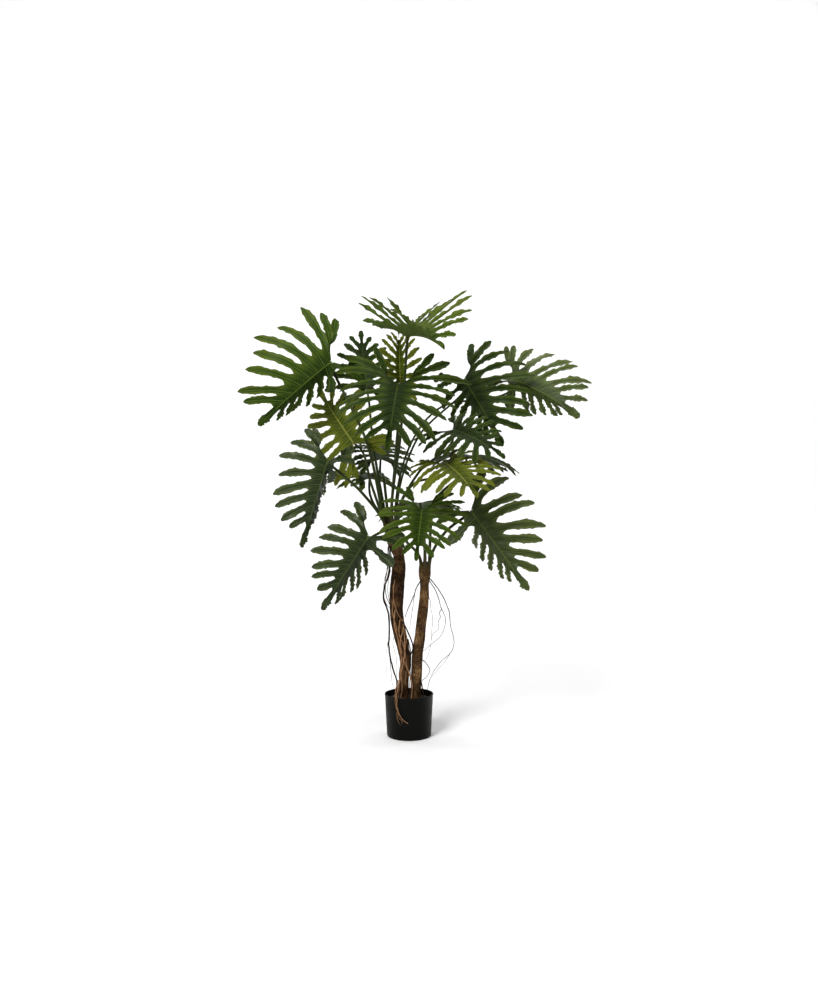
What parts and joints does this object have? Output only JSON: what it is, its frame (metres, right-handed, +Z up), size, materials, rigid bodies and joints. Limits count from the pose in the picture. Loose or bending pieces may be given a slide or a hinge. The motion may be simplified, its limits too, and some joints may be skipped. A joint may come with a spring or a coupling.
{
  "type": "potted artificial split-leaf philodendron",
  "caption": "Artificial split-leaf tree plant: deeply lobed leaves on long stalks over bark trunks with aerial roots, in a round nursery pot.",
  "frame": {"origin": "centre of the pot's flat bottom face, on the surface it stands on", "axes": "+Z up along the pot's axis, -Y towards the front of the plant as pictured, +X to its right"},
  "size_m": [1.1754, 0.8246, 1.4898],
  "materials": {
    "pot": "satin black moulded plastic",
    "fill": "rough dark set filling",
    "trunk_left": "dark brown moulded bark, dull",
    "trunk_right": "reddish brown moulded bark with fine rings, dull",
    "stem": "dark green coated stalk",
    "leaf_mid": "bright mid-green leaf, satin",
    "leaf_light": "light green leaf, satin",
    "leaf_dark": "deep green leaf, satin",
    "leaf_lime": "yellow-green leaf, satin",
    "leaf_grey": "greyish green leaf, satin",
    "leaf_blue": "blue-green leaf with a soft sheen"
  },
  "bodies": {
    "root": {"pot": "pot", "fill": "fill", "trunk_left": "trunk_left", "trunk_right": "trunk_right", "stem_01": "stem", "blade_01": "leaf_mid", "stem_02": "stem", "blade_02": "leaf_light", "stem_03": "stem", "blade_03": "leaf_dark", "stem_04": "stem", "blade_04": "leaf_lime", "stem_05": "stem", "blade_05": "leaf_dark", "stem_06": "stem", "blade_06": "leaf_dark", "stem_07": "stem", "blade_07": "leaf_grey", "stem_08": "stem", "blade_08": "leaf_dark", "stem_09": "stem", "blade_09": "leaf_lime", "stem_10": "stem", "blade_10": "leaf_dark", "stem_11": "stem", "blade_11": "leaf_blue", "stem_12": "stem", "blade_12": "leaf_grey", "stem_13": "stem", "blade_13": "leaf_lime", "stem_14": "stem", "blade_14": "leaf_light", "stem_15": "stem", "blade_15": "leaf_mid", "stem_16": "stem", "blade_16": "leaf_blue", "stem_17": "stem", "blade_17": "leaf_dark", "stem_18": "stem", "blade_18": "leaf_mid"}
  },
  "joints": []
}
